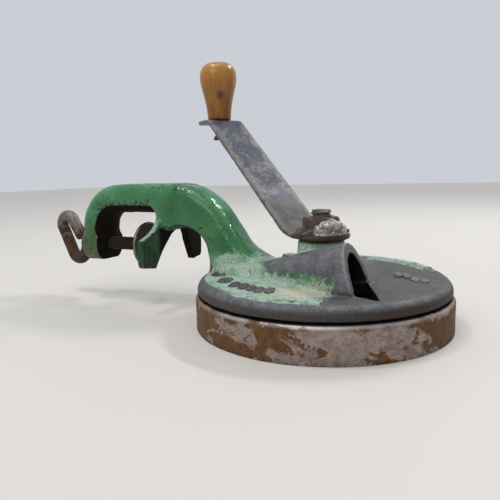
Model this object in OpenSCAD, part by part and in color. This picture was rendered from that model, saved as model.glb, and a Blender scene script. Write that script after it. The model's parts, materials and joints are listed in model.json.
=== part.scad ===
// Table-clamp rotary slicer with a hand crank, millimetres.
// Origin: the spindle axis, on the plane that the drum's rim stands on.
// +Z runs up the spindle to the crank, and the clamp arm runs along -X.

/* [Cutter drum] */
// Outer radius of the drum
drum_r = 75; // [72:0.5:80]
// Height of the drum, from its rim to its face
drum_h = 19.2; // [16:0.2:22]
// Sheet thickness of the drum
drum_t = 1.4; // [1:0.1:2]
// Length of each blade
blade_len = 44; // [36:1:46]

/* [Cover plate] */
// Radius of the cast cover plate
plate_r = 73.5; // [72:0.5:74.5]
// Thickness of the cast cover plate
plate_t = 8; // [6:0.5:10]
// Air gap between the plate and the drum
plate_gap = 1; // [0.8:0.1:1.5]
// Height of the spindle boss above the plate
boss_h = 20.8; // [16:0.2:21]

/* [Feed hood] */
// Half width of the hood's mouth, inside
mouth_half = 20.3; // [16:0.1:21]
// Height of the hood's mouth above the plate, inside
mouth_h = 19.3; // [15:0.1:21]
// Wall thickness of the hood
hood_wall = 4; // [3:0.5:5]

/* [Clamp arm] */
// Height of the arm's top above the ground plane
arm_top = 83.5; // [80:0.5:90]
// Half width of the arm
arm_half = 13.5; // [12:0.5:15]
// Outer radius of the bend over the jaw
jaw_bend_r = 34; // [32:1:36]
// Height of the clamp screw's axis
screw_z = 40.5; // [38:0.5:43]
// Radius of the clamp screw
screw_r = 4.75; // [4:0.25:5]
// Radius of the clamp pad
pad_r = 16.8; // [14:0.2:17]

/* [Crank] */
// Distance from the spindle to the knob's axis
crank_throw = 127; // [120:1:135]
// Width of the crank strip
strip_w = 29.2; // [24:0.1:30]
// Thickness of the crank strip
strip_t = 3; // [2.5:0.5:4]
// Height of the tab that carries the knob, at its top
tab_top = 129.8; // [126:0.2:136]
// Slope of the crank strip in degrees
strip_slope = 37; // [33:1:40]
// Height of the wooden knob
knob_h = 43; // [40:1:50]

/* [Hidden] */
$fn = 64;

fit = 0.05;                            // radial clearance of a running fit
spindle_r = 6;
plate_z = drum_h + plate_gap;          // underside of the cover plate
plate_top = plate_z + plate_t;
plate_edge_r = 5;                      // rounding of the plate's top edge
boss_top = plate_top + boss_h;
strip_z = boss_top + 1;                // underside of the crank strip at the hub

hub_plate_t = 3;
hub_plate_r = 20;
face_z = drum_h - drum_t;              // underside of the drum's face
hub_plate_z = face_z - hub_plate_t;
drum_nut_h = 6.5;
drum_washer_t = 1.6;
drum_nut_z = hub_plate_z - drum_washer_t - drum_nut_h;

crank_yaw = 180 - 32;                  // the crank points over the arm's far side
hub_flat = 16.9;                       // the strip is flat up to this distance
hub_end_r = 16;
strip_bend_r = 27;
tab_bend_r = 9;
tab_end = crank_throw + 7.5;
nut_af = 19;
nut_h = 9.7;
nut_turn = 14;                         // angle of the crank nut's corners
nut_z = strip_z + strip_t;
spindle_top = nut_z + nut_h + 4.3;

pin_r = 3.5;
pin_below = 10.5;                      // length of the knob pin under the tab
pin_foot_r = 5.4;                      // hammered end of the knob pin
knob_z = tab_top + 0.4;
knob_top = knob_z + knob_h;
pin_head_r = 5.5;
pin_head_h = 2.2;
pocket_r = 7;                          // recess in the knob around the pin's head
pocket_z = knob_top - 5;

arm_bend_x = -100;                     // where the arm starts to curve down
arm_bend_r = 46;
arm_slope = 55;                        // steepest slope of the arm in degrees
slope_run = 19.5;
root_bend_r = 30;
jaw_bend_x = -148.5;
jaw_out_x = -181;                      // outer face of the screw jaw
jaw_in_x = -165.2;                       // inner face of the screw jaw
jaw_under = 28.8;                      // underside of the screw jaw
limb_r = 8;                            // rounding of the arm's top edges
limb_edge = 14.6;                      // depth of the arm at its lower edges
limb_belly = 20;                       // depth of the arm along its middle
web_half = 13;
fork_x = -112;                         // face of the fixed fork, towards the pad
fork_t = 5.5;
arch_x = -91.5;                        // round arch between the fork and the leg
arch_z = 37;
arch_r = 19;

pad_face_x = -128;
pad_t = 3;
rod_r = 4.3;

function arc(cx, cy, r, a0, a1, n = 10) =
    [for (i = [0:n]) let (a = a0 + (a1 - a0) * i / n) [cx + r * cos(a), cy + r * sin(a)]];

// A bend of the section, heading up +Z and turning towards +X by the angle.
module bend(bend_r, turn) {
    translate([bend_r, 0, 0])
        rotate([90, 0, 180])
            rotate_extrude(angle = turn, $fn = 96)
                translate([bend_r, 0]) rotate(180) children();
}

// Sweeps a 2D section, symmetric about its x axis, up +Z through steps of
// [length, bend radius, turn]. A positive turn goes towards +X. A knuckle is
// the radius of a ball at each joint, which ties thin stretches together.
module sweep(steps, knuckle = 0, i = 0) {
    length = steps[i][0];
    bend_r = steps[i][1];
    turn = steps[i][2];
    side = turn < 0 ? -1 : 1;
    linear_extrude(height = length) children();
    if (knuckle > 0) sphere(r = knuckle);
    translate([0, 0, length]) {
        if (turn > 0) bend(bend_r, turn) children();
        if (turn < 0) rotate([0, 0, 180]) bend(bend_r, -turn) rotate(180) children();
        if (i + 1 < len(steps))
            translate([side * bend_r * (1 - cos(turn)), 0, bend_r * sin(abs(turn))])
                rotate([0, turn, 0]) sweep(steps, knuckle, i + 1) children();
    }
}

// ---- body casting -------------------------------------------------------

module cover_plate() {
    rotate_extrude($fn = 128)
        polygon(concat(
            [[0, plate_z], [plate_r - 1, plate_z], [plate_r, plate_z + 1]],
            arc(plate_r - plate_edge_r, plate_top - plate_edge_r, plate_edge_r, 0, 90, 6),
            [[0, plate_top]]));
    // low band along the far rim
    rotate([0, 0, 34])
        rotate_extrude(angle = 84, $fn = 128)
            polygon([[63, plate_top - 0.5], [70, plate_top - 0.5],
                     [69, plate_top + 1.2], [64, plate_top + 1.2]]);
    // cast gate stub beside the arm's root
    translate([-41, 48, plate_top - 1]) cylinder(r1 = 6.5, r2 = 5, h = 3.6);
}

// Plain raised lozenges stand where the plate is embossed.
module plate_ornament() {
    left_row = [[-57.5, -22, 8.4], [-44.6, -37, 7.6], [-34, -44.6, 5], [-27.4, -46.8, 4.6],
                [-21.6, -49, 4.6], [-15.8, -50.8, 4.6], [-10, -50.4, 4.8]];
    right_rows = [[42.2, 12.8, 4.4], [47.6, 11.2, 4.4], [53, 4.4, 4.4], [58.2, 2.8, 4.4]];
    for (mark = concat(left_row, right_rows))
        translate([mark[0], mark[1], plate_top - 0.5])
            rotate([0, 0, 16])
                scale([mark[2] / 5, 1, 1])
                    linear_extrude(height = 1.5)
                        polygon([[0, -6.4], [2.5, -4.2], [2.5, 4.2],
                                 [0, 6.4], [-2.5, 4.2], [-2.5, -4.2]]);
}

module spindle_boss() {
    translate([0, 0, plate_top - 1]) cylinder(r1 = 15, r2 = 13.7, h = boss_h + 1);
}

// An upright arch: round on top, straight below, centred on the ground.
module arch_outline(half, height) {
    intersection() {
        union() {
            translate([0, height - half]) circle(r = half, $fn = 32);
            translate([-half, -2]) square([2 * half, height - half + 2]);
        }
        translate([-half - 1, -2]) square([2 * half + 2, height + 4]);
    }
}

module mouth_arch(half, height, thick) {
    translate([31.3, -24.3, plate_top])
        rotate([0, 0, 5.8])
            rotate([0, -20, 0])
                rotate([90, 0, 90])
                    translate([0, 0, -thick])
                        linear_extrude(height = thick) arch_outline(half, height, $fn = 32);
}

module feed_hood() {
    hull() {
        mouth_arch(mouth_half + hood_wall, mouth_h + hood_wall + 1.6, 5);
        translate([-52, -5, plate_top - 1.5]) cylinder(r = 7, h = 1.6, $fn = 24);
    }
}

module feed_passage() {
    hull() {
        translate([6, 0.6, 2.4]) mouth_arch(mouth_half, mouth_h, 3);
        translate([4, -22, plate_top - 1]) cylinder(r = 6, h = 8, $fn = 24);
    }
    // slot through the plate, running out past the mouth
    translate([0, 0, plate_z - 1])
        linear_extrude(height = plate_t + 3)
            polygon([[47, -49.5], [30.2, -9], [17, -14.5], [-2, -18.5],
                     [-7, -24], [0, -29.5], [33.6, -44.5]]);
}

// Section of the arm, its rounded top at x = 0 and its belly at +x.
module arm_section() {
    belly = [[limb_edge, arm_half], [limb_belly - 2.2, arm_half - 4.5], [limb_belly, 4]];
    polygon(concat(
        arc(limb_r, arm_half - limb_r, limb_r, 90, 180, 5),
        arc(limb_r, limb_r - arm_half, limb_r, 180, 270, 5),
        [for (p = belly) [p[0], -p[1]]],
        [for (i = [len(belly) - 1:-1:0]) belly[i]]));
}

// The thicker web under the arm, seen from the side.
module arm_web() {
    difference() {
        polygon([[fork_x - 2.5, 76], [fork_x - 2.5, 66], [fork_x, 61], [fork_x, 53.5],
                 [arch_x, 50], [arch_x + arch_r + 0.5, arch_z], [-71.5, 27], [-69, plate_z],
                 [-24, plate_z], [-30, 33], [-55, 44], [-68, 60], [-84, 73]]);
        translate([arch_x, arch_z]) circle(r = arch_r);
    }
}

module clamp_arm() {
    translate([jaw_bend_x - jaw_bend_r, 0, screw_z - 2])
        sweep([[arm_top - jaw_bend_r - screw_z + 2, jaw_bend_r, 90],
               [arm_bend_x - jaw_bend_x, arm_bend_r, arm_slope],
               [slope_run, root_bend_r, -arm_slope],
               [10, 0, 0]])
            arm_section();
    rotate([90, 0, 0])
        translate([0, 0, -web_half])
            linear_extrude(height = 2 * web_half) arm_web();
    // the leg spreads out where it meets the plate
    hull() {
        translate([-66, -12, 38]) cube([8, 24, 2]);
        translate([-47, 0, plate_z + 1]) cylinder(r = 23, h = plate_t - 1, $fn = 32);
    }
    // jaw end around the screw
    difference() {
        translate([jaw_out_x, 0, screw_z])
            rotate([0, 90, 0]) cylinder(r = arm_half + 0.5, h = jaw_in_x - jaw_out_x);
        translate([jaw_out_x - 1, -arm_half - 2, jaw_under - 10])
            cube([jaw_in_x - jaw_out_x + 2, 2 * arm_half + 4, 10]);
    }
}

// Fixed fork: two splayed prongs that bear on the table's edge. The outline
// runs from the near prong's outer side, over the arch, to the far prong.
module fork() {
    near_prong = [[-33, 47.5], [-33, 32], [-31.5, 29.8], [-21, 28.3]];
    arch = [[-15.5, 36], [-9.5, 43], [-3, 48.5], [3, 51.5], [12, 52], [15.5, 46], [18.5, 38]];
    far_prong = [[22.5, 28], [31.5, 29.3], [33, 31.5], [33.5, 45], [32.5, 47.5]];
    shoulder = [[25, 50.5], [16.5, 57], [13, 63], [-13, 63], [-16.5, 57], [-25, 50.5]];
    translate([fork_x, 0, 0])
        rotate([90, 0, 90])
            linear_extrude(height = fork_t)
                polygon(concat(near_prong, arch, far_prong, shoulder));
}

module body_casting() {
    color("seagreen")
        difference() {
            union() {
                cover_plate();
                plate_ornament();
                spindle_boss();
                feed_hood();
                clamp_arm();
                fork();
            }
            difference() {
                feed_passage();
                translate([0, 0, plate_z - 2]) cylinder(r = 12.5, h = boss_h + 30);
            }
            // nothing of the arm's root hangs below the plate
            translate([0, 0, plate_z - 10]) cylinder(r = plate_r + 1, h = 10);
            translate([0, 0, plate_z - 1]) cylinder(r = spindle_r + fit, h = boss_h + plate_t + 2);
            translate([jaw_out_x - 10, 0, screw_z])
                rotate([0, 90, 0]) cylinder(r = screw_r + fit, h = jaw_in_x - jaw_out_x + 20);
        }
}

// ---- cutter drum --------------------------------------------------------

blade_count = 3;
slot_r0 = 22;                          // inner end of each blade slot
blade_yaw = 25;                        // angle of the first blade
rivet_r = 1.6;
blade_rivet_y = 10.5;                  // rivets sit this far behind the cutting edge

module each_blade() {
    for (i = [0:blade_count - 1])
        rotate([0, 0, blade_yaw + i * 360 / blade_count]) children();
}

module blade_rivet_places() {
    for (x = [slot_r0 + 7, slot_r0 + blade_len - 7])
        translate([x, blade_rivet_y, 0]) children();
}

module hub_rivet_places() {
    for (i = [0:2]) rotate([0, 0, 85 + i * 120]) translate([14, 0, 0]) children();
}

module drum_shell() {
    corner = 2.6;
    color("lightgray")
        difference() {
            rotate_extrude($fn = 128)
                polygon(concat(
                    [[drum_r - drum_t, 0], [drum_r, 0]],
                    arc(drum_r - corner, drum_h - corner, corner, 0, 90, 5),
                    [[0, drum_h], [0, face_z]],
                    arc(drum_r - corner, drum_h - corner, corner - drum_t, 90, 0, 4)));
            translate([0, 0, face_z - 1]) cylinder(r = spindle_r, h = 4);
            each_blade() {
                translate([slot_r0 - 1, -5, face_z - 1]) cube([blade_len + 2, 10.5, 4]);
                blade_rivet_places() translate([0, 0, face_z - 1]) cylinder(r = rivet_r, h = 4);
            }
            hub_rivet_places() translate([0, 0, face_z - 1]) cylinder(r = rivet_r, h = 4);
        }
}

module drum_hub_plate() {
    color("dimgray")
        difference() {
            translate([0, 0, hub_plate_z]) cylinder(r = hub_plate_r, h = hub_plate_t);
            translate([0, 0, hub_plate_z - 1]) cylinder(r = spindle_r, h = hub_plate_t + 2);
            hub_rivet_places() translate([0, 0, hub_plate_z - 1]) cylinder(r = rivet_r, h = 6);
        }
}

module rivet(z_head, z_end) {
    translate([0, 0, z_head]) cylinder(r = rivet_r, h = z_end - z_head);
    translate([0, 0, z_head - 1.4]) cylinder(r1 = 2, r2 = 3, h = 1.4);
}

module drum_hub_rivets() {
    color("gray") hub_rivet_places() rivet(hub_plate_z, drum_h);
}

// One blade: a flat strip under the face, its edge rising through the slot.
module blade(index) {
    lift = 0.5;
    color("silver")
        rotate([0, 0, blade_yaw + index * 360 / blade_count])
            difference() {
                translate([slot_r0, 0, 0])
                    rotate([90, 0, 90])
                        linear_extrude(height = blade_len)
                            polygon([[15, face_z - 1.3], [15, face_z], [5.5, face_z],
                                     [-3, drum_h + lift], [-3.4, drum_h + lift - 0.2],
                                     [4.5, face_z - 1.3]]);
                blade_rivet_places() translate([0, 0, face_z - 3]) cylinder(r = rivet_r, h = 6);
            }
}

module blade_rivets() {
    color("gray") each_blade() blade_rivet_places() rivet(face_z - 1.3, drum_h);
}

module spindle() {
    thread = 0.45;
    pitch = 2.2;
    color("dimgray") {
        translate([0, 0, drum_nut_z - 2]) cylinder(r = spindle_r, h = nut_z + nut_h - drum_nut_z + 2);
        translate([0, 0, nut_z + nut_h])
            rotate_extrude()
                polygon(concat(
                    [[0, 0], [spindle_r - thread, 0]],
                    [for (i = [0:1])
                        for (p = [[spindle_r, 0.5], [spindle_r, 1.3], [spindle_r - 2 * thread, 1.9]])
                            [p[0], p[1] + i * pitch]],
                    [[0, spindle_top - nut_z - nut_h]]));
    }
}

module drum_washer() {
    color("silver")
        difference() {
            translate([0, 0, hub_plate_z - drum_washer_t]) cylinder(r = 10.5, h = drum_washer_t);
            translate([0, 0, hub_plate_z - 3]) cylinder(r = spindle_r, h = 4);
        }
}

module hex_nut(z, h) {
    difference() {
        translate([0, 0, z]) cylinder(r = nut_af / sqrt(3), h = h, $fn = 6);
        translate([0, 0, z - 1]) cylinder(r = spindle_r, h = h + 2);
    }
}

module drum_nut() {
    color("dimgray") hex_nut(drum_nut_z, drum_nut_h);
}

module thrust_washer() {
    color("dimgray")
        difference() {
            translate([0, 0, boss_top + 0.1]) cylinder(r = 10.5, h = strip_z - boss_top - 0.1);
            translate([0, 0, boss_top - 1]) cylinder(r = spindle_r, h = 4);
        }
}

// ---- crank --------------------------------------------------------------

// Half of the strip's outline, seen from the side: the hub flat, a wide bend,
// the slope, a tight bend and the tab. side is +1 above and -1 below.
function strip_edge(side) =
    let (half = side * strip_t / 2,
         z0 = strip_z + strip_t / 2,
         z1 = tab_top - strip_t / 2,
         r2 = hub_flat + (z1 - z0) / tan(strip_slope),
         a = hub_flat - strip_bend_r * tan(strip_slope / 2),
         b = r2 + tab_bend_r * tan(strip_slope / 2))
    concat([[-hub_end_r - 4, z0 + half]],
           arc(a, z0 + strip_bend_r, strip_bend_r - half, -90, strip_slope - 90, 6),
           arc(b, z1 - tab_bend_r, tab_bend_r + half, 90 + strip_slope, 90, 5),
           [[tab_end, z1 + half]]);

module crank_arm() {
    below = strip_edge(-1);
    color("slategray")
        rotate([0, 0, crank_yaw])
            difference() {
                intersection() {
                    rotate([90, 0, 0])
                        translate([0, 0, -strip_w / 2])
                            linear_extrude(height = strip_w)
                                polygon(concat(strip_edge(1),
                                               [for (i = [len(below) - 1:-1:0]) below[i]]));
                    union() {
                        translate([0, 0, 20]) cylinder(r = hub_end_r, h = 60);
                        translate([6, -strip_w, 20]) cube([tab_end, 2 * strip_w, 140]);
                    }
                }
                translate([0, 0, strip_z - 1]) cylinder(r = spindle_r, h = strip_t + 2);
                translate([crank_throw, 0, tab_top - strip_t - 1]) cylinder(r = pin_r, h = strip_t + 2);
            }
}

module crank_nut() {
    color("rosybrown") rotate([0, 0, nut_turn]) hex_nut(nut_z, nut_h);
}

// Lump of weld that locks the nut to the strip: lumps are [angle, radius, height].
module weld_bead() {
    weld_lift = 7;
    color("gainsboro")
        rotate([0, 0, nut_turn])
            difference() {
                union() {
                    translate([0, 0, nut_z]) cylinder(r1 = 13.6, r2 = 11.8, h = 4.6);
                    for (lump = [[268, 4.4, 6.5], [303, 3.6, 5.4], [222, 3.2, 5]])
                        rotate([0, 0, lump[0]])
                            translate([10.6, 0, nut_z])
                                cylinder(r1 = lump[1], r2 = lump[1] - 1.5, h = lump[2]);
                }
                translate([0, 0, nut_z - 1]) cylinder(r = nut_af / sqrt(3), h = nut_h + 4, $fn = 6);
                // clear of the strip, which starts to rise under the weld's edge
                rotate([0, 0, crank_yaw - nut_turn])
                    translate([hub_flat - strip_bend_r * tan(strip_slope / 2), -20, nut_z])
                        rotate([0, -weld_lift, 0]) translate([0, 0, -10]) cube([20, 40, 10]);
            }
}

module at_knob() {
    rotate([0, 0, crank_yaw]) translate([crank_throw, 0, 0]) children();
}

module knob_pin() {
    head_z = pocket_z + 1.2;
    foot_z = tab_top - strip_t - pin_below;
    color("gray")
        at_knob() {
            translate([0, 0, foot_z]) cylinder(r = pin_r, h = head_z - foot_z + 1);
            translate([0, 0, head_z]) cylinder(r1 = pin_head_r, r2 = pin_head_r - 1.5, h = pin_head_h);
            translate([0, 0, foot_z - 1]) cylinder(r1 = pin_foot_r, r2 = pin_r + 0.5, h = 3);
            translate([0, 0, tab_top - strip_t - 3]) cylinder(r = 5, h = 3);
        }
}

module knob_washer() {
    color("silver")
        at_knob()
            difference() {
                translate([0, 0, pocket_z + 0.4]) cylinder(r = 6.4, h = 0.8);
                translate([0, 0, pocket_z - 1]) cylinder(r = pin_r, h = 4);
            }
}

module wooden_knob() {
    side = [[8.6, 0], [8.95, 1.2], [9.25, 5], [9.65, 9], [10.8, 15.5], [12.2, 21], [13.4, 25.5],
            [14, 29], [14.2, 32.5], [13.9, 35.5], [13.1, 38], [11.6, 40.2], [9.6, 41.8], [7.6, 42.6]];
    color("goldenrod")
        at_knob()
            difference() {
                translate([0, 0, knob_z])
                    rotate_extrude($fn = 96)
                        polygon(concat([[0, 0]], [for (p = side) [p[0], p[1] * knob_h / 43]],
                                       [[0, knob_h]]));
                translate([0, 0, knob_z - 1]) cylinder(r = pin_r + fit, h = knob_h + 2);
                translate([0, 0, pocket_z]) cylinder(r = pocket_r, h = 10);
            }
}

// ---- clamp --------------------------------------------------------------

// The rod's end is bent down and back up into a three-cornered loop.
module clamp_screw() {
    bend_x = -183.5;                   // where the rod starts to bend
    color("saddlebrown") {
        translate([bend_x, 0, screw_z])
            rotate([0, 90, 0]) cylinder(r = screw_r, h = pad_face_x - pad_t - 5 - bend_x);
        translate([pad_face_x - pad_t - 6, 0, screw_z])
            rotate([0, 90, 0]) cylinder(r = 3, h = pad_t + 6 - 1.2);
        translate([bend_x + 3, 0, screw_z])
            rotate([0, -90, 0])
                sweep([[3.1, 5, -64], [8.2, 6.5, 129], [22.2, 6.3, 173], [15.6, 0, 0]], rod_r + 0.2)
                    circle(r = rod_r, $fn = 12);
    }
}

module clamp_pad() {
    color("dimgray")
        translate([pad_face_x, 0, screw_z])
            rotate([0, -90, 0])
                difference() {
                    union() {
                        cylinder(r1 = pad_r, r2 = pad_r - 0.8, h = pad_t);
                        cylinder(r = 8, h = pad_t + 4.6);
                    }
                    translate([0, 0, -1]) cylinder(r = 3 + fit, h = 12);
                    translate([0, 0, -1]) cylinder(r = 5.6, h = 2.4);
                }
}

// Flattened end of the screw, in a recess of the pad.
module pad_rivet() {
    color("silver")
        translate([pad_face_x - 1.2, 0, screw_z])
            rotate([0, 90, 0]) cylinder(r1 = 5, r2 = 4.4, h = 0.9);
}

body_casting();
drum_shell();
drum_hub_plate();
drum_hub_rivets();
blade(0);  // blade_1
blade(1);  // blade_2
blade(2);  // blade_3
blade_rivets();
spindle();
drum_washer();
drum_nut();
thrust_washer();
crank_arm();
crank_nut();
weld_bead();
knob_pin();
knob_washer();
wooden_knob();
clamp_screw();
clamp_pad();
pad_rivet();
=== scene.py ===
"""Looks for a table-clamp rotary slicer: a worn green iron casting, a tinned
drum, a bent steel crank with a wooden knob, and a rusty clamp screw.
Lengths are in metres, in the CAD frame: +Z runs up the spindle, the arm along -X."""
import json
import math

import bmesh
import bpy
import numpy as np
from mathutils import Matrix, Vector


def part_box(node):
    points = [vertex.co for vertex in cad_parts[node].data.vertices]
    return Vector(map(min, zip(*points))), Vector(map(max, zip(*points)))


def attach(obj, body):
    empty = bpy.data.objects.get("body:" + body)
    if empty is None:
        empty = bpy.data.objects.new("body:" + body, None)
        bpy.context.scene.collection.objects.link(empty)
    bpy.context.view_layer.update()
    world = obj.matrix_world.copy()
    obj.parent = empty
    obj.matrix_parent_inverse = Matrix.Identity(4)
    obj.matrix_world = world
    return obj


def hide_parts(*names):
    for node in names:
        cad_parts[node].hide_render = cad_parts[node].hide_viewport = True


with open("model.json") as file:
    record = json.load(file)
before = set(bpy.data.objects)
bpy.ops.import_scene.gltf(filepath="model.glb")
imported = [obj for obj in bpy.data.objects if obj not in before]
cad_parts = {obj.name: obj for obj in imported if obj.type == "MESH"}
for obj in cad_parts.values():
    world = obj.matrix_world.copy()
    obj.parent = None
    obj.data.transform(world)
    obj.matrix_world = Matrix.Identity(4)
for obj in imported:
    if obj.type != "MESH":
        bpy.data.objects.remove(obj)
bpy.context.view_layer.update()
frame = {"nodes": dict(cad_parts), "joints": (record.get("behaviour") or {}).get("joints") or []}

MM = 0.001


# ---- places taken from the CAD frame ----------------------------------------

def low(node):
    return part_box(node)[0]


def high(node):
    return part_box(node)[1]


def joint_place(name):
    for joint in frame["joints"]:
        if joint["name"] == name:
            return Vector(joint["pos_m"])


KNOB_AXIS = joint_place("knob_turn")
SCREW_AXIS = joint_place("screw_turn")
CRANK_YAW = math.atan2(KNOB_AXIS.y, KNOB_AXIS.x)
CRANK_THROW = math.hypot(KNOB_AXIS.x, KNOB_AXIS.y)
PLATE_UNDER = low("body_casting").z
PLATE_TOP = PLATE_UNDER + 8 * MM
DRUM_TOP = high("drum_shell").z


# ---- small mathematics ------------------------------------------------------

def smoothstep(low_edge, high_edge, value):
    t = np.clip((value - low_edge) / (high_edge - low_edge), 0, 1)
    return t * t * (3 - 2 * t)


def band(value, rise_from, rise_to, fall_from, fall_to):
    """1 between rise_to and fall_from, and 0 outside rise_from and fall_to."""
    return smoothstep(rise_from, rise_to, value) * smoothstep(fall_to, fall_from, value)


def hashed(ix, iy, iz, seed):
    mixed = (ix * 374761393 + iy * 668265263 + iz * 1440662683 + seed * 1274126177) & 0xFFFFFFFF
    mixed = ((mixed ^ (mixed >> 13)) * 1274126177) & 0xFFFFFFFF
    mixed = mixed ^ (mixed >> 16)
    return mixed / 0x7FFFFFFF - 1


def noise_at(points, size, seed=0, octaves=1):
    """Smooth lattice noise from -1 to 1 for rows of points, with lumps of the given size."""
    total = np.zeros(len(points))
    weight = 1.0
    for octave in range(octaves):
        scaled = np.asarray(points, float) / size * 2 ** octave + 0.37 * octave + 100
        cell = np.floor(scaled).astype(np.int64)
        part = scaled - cell
        part = part * part * (3 - 2 * part)
        value = np.zeros(len(points))
        for corner in range(8):
            dx, dy, dz = corner & 1, corner >> 1 & 1, corner >> 2 & 1
            share = (part[:, 0] if dx else 1 - part[:, 0]) \
                * (part[:, 1] if dy else 1 - part[:, 1]) \
                * (part[:, 2] if dz else 1 - part[:, 2])
            value += share * hashed(cell[:, 0] + dx, cell[:, 1] + dy, cell[:, 2] + dz, seed + octave)
        total += weight * value
        weight *= 0.5
    return total


# ---- mesh helpers -----------------------------------------------------------

def link(name, mesh):
    piece = bpy.data.objects.new(name, mesh)
    bpy.context.scene.collection.objects.link(piece)
    return piece


def mesh_from(name, verts, faces, smooth=True):
    mesh = bpy.data.meshes.new(name)
    mesh.from_pydata([tuple(v) for v in verts], [], faces)
    mesh.validate()
    mesh.polygons.foreach_set("use_smooth", [smooth] * len(mesh.polygons))
    mesh.update()
    return mesh


def fix_normals(mesh):
    shape = bmesh.new()
    shape.from_mesh(mesh)
    bmesh.ops.recalc_face_normals(shape, faces=shape.faces)
    shape.to_mesh(mesh)
    shape.free()


def coords(mesh):
    flat = np.zeros(len(mesh.vertices) * 3)
    mesh.vertices.foreach_get("co", flat)
    return flat.reshape(-1, 3)


def set_coords(mesh, points):
    mesh.vertices.foreach_set("co", np.asarray(points, float).ravel())
    mesh.update()


def vertex_normals(mesh):
    flat = np.zeros(len(mesh.vertices) * 3)
    mesh.vertex_normals.foreach_get("vector", flat)
    return flat.reshape(-1, 3)


def edge_pairs(mesh):
    flat = np.zeros(len(mesh.edges) * 2, np.int64)
    mesh.edges.foreach_get("vertices", flat)
    return flat.reshape(-1, 2)


def neighbour_mean(points, pairs):
    """The mean of each vertex's neighbours, for points or for one value a vertex."""
    count = len(points)
    degree = np.bincount(pairs.ravel(), minlength=count)
    degree = np.maximum(degree, 1)
    table = points.reshape(count, -1)
    total = np.empty_like(table)
    for axis in range(table.shape[1]):
        total[:, axis] = np.bincount(pairs[:, 0], table[pairs[:, 1], axis], count) \
            + np.bincount(pairs[:, 1], table[pairs[:, 0], axis], count)
    return (total / degree[:, None]).reshape(points.shape)


def relax(points, pairs, rounds, weight=1.0, keep_size=True):
    """Smooths points over the mesh; keep_size alternates shrinking and swelling."""
    weight = np.broadcast_to(np.asarray(weight, float), (len(points),))[:, None]
    for _ in range(rounds):
        points = points + 0.5 * weight * (neighbour_mean(points, pairs) - points)
        if keep_size:
            points = points - 0.52 * weight * (neighbour_mean(points, pairs) - points)
    return points


def remeshed(node, name, voxel):
    """A copy of a CAD node's mesh, rebuilt from small even faces."""
    piece = link(name, frame["nodes"][node].data.copy())
    even_faces(piece, voxel)
    return piece


def even_faces(piece, size):
    modifier = piece.modifiers.new("even", "REMESH")
    modifier.mode = "VOXEL"
    modifier.voxel_size = size
    modifier.use_smooth_shade = True
    bake_modifiers(piece)


def bake_modifiers(piece):
    bpy.context.view_layer.update()
    graph = bpy.context.evaluated_depsgraph_get()
    final = bpy.data.meshes.new_from_object(piece.evaluated_get(graph))
    piece.modifiers.clear()
    piece.data = final


def store(mesh, **masks):
    """Keeps each mask as a value from 0 to 1 at every vertex."""
    for name, values in masks.items():
        attribute = mesh.attributes.new(name, "FLOAT", "POINT")
        values = np.clip(values, 0, 1) + np.zeros(len(mesh.vertices))
        attribute.data.foreach_set("value", values.astype(np.float32))


def ring_surface(rings, closed_ends=True, loop=False):
    """Faces that join equal rings of points, given as an array (rings, points, 3)."""
    count, around, _ = rings.shape
    faces = []
    for i in range(count if loop else count - 1):
        here, after = i * around, (i + 1) % count * around
        for j in range(around):
            k = (j + 1) % around
            faces.append((here + j, here + k, after + k, after + j))
    if closed_ends and not loop:
        faces.append(tuple(range(around))[::-1])
        faces.append(tuple((count - 1) * around + j for j in range(around)))
    return rings.reshape(-1, 3), faces


def turned_rings(profile, around, centre=(0, 0)):
    """Turns a list of (radius, height) about an upright axis."""
    angles = np.linspace(0, 2 * np.pi, around, endpoint=False)
    return np.array([[(centre[0] + r * np.cos(a), centre[1] + r * np.sin(a), z) for a in angles]
                     for r, z in profile])


def lathe(name, profile, around):
    return mesh_from(name, *ring_surface(turned_rings(profile, around)))


def arc_points(centre, radius, start, end, count):
    """Points (x, y) along an arc, with angles in degrees."""
    turns = np.radians(np.linspace(start, end, count))
    return [(centre[0] + radius * math.cos(a), centre[1] + radius * math.sin(a)) for a in turns]


def swept(name, path, radii, around=24):
    """A round bar along path, with one radius at each point."""
    tangents = np.gradient(path, axis=0)
    tangents /= np.linalg.norm(tangents, axis=1)[:, None]
    side = np.array([0.0, 1.0, 0.0])
    rings = []
    for point, tangent, radius in zip(path, tangents, radii):
        across = side - tangent * side.dot(tangent)
        across /= np.linalg.norm(across)
        up = np.cross(tangent, across)
        rings.append([point + radius * (np.cos(a) * across + np.sin(a) * up)
                      for a in np.linspace(0, 2 * np.pi, around, endpoint=False)])
    mesh = mesh_from(name, *ring_surface(np.array(rings)))
    fix_normals(mesh)
    return mesh


def material(name):
    return bpy.data.materials[name]


def finish_piece(piece, body, material, nodes=(), edge_angle=35):
    """Gives a piece its material and body, and hides the CAD nodes it stands for."""
    piece.data.materials.clear()
    piece.data.materials.append(material)
    if edge_angle:
        piece.data.set_sharp_from_angle(angle=math.radians(edge_angle))
    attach(piece, body)
    if nodes:
        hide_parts(*nodes)
    return piece


# ---- node helpers -----------------------------------------------------------

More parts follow.
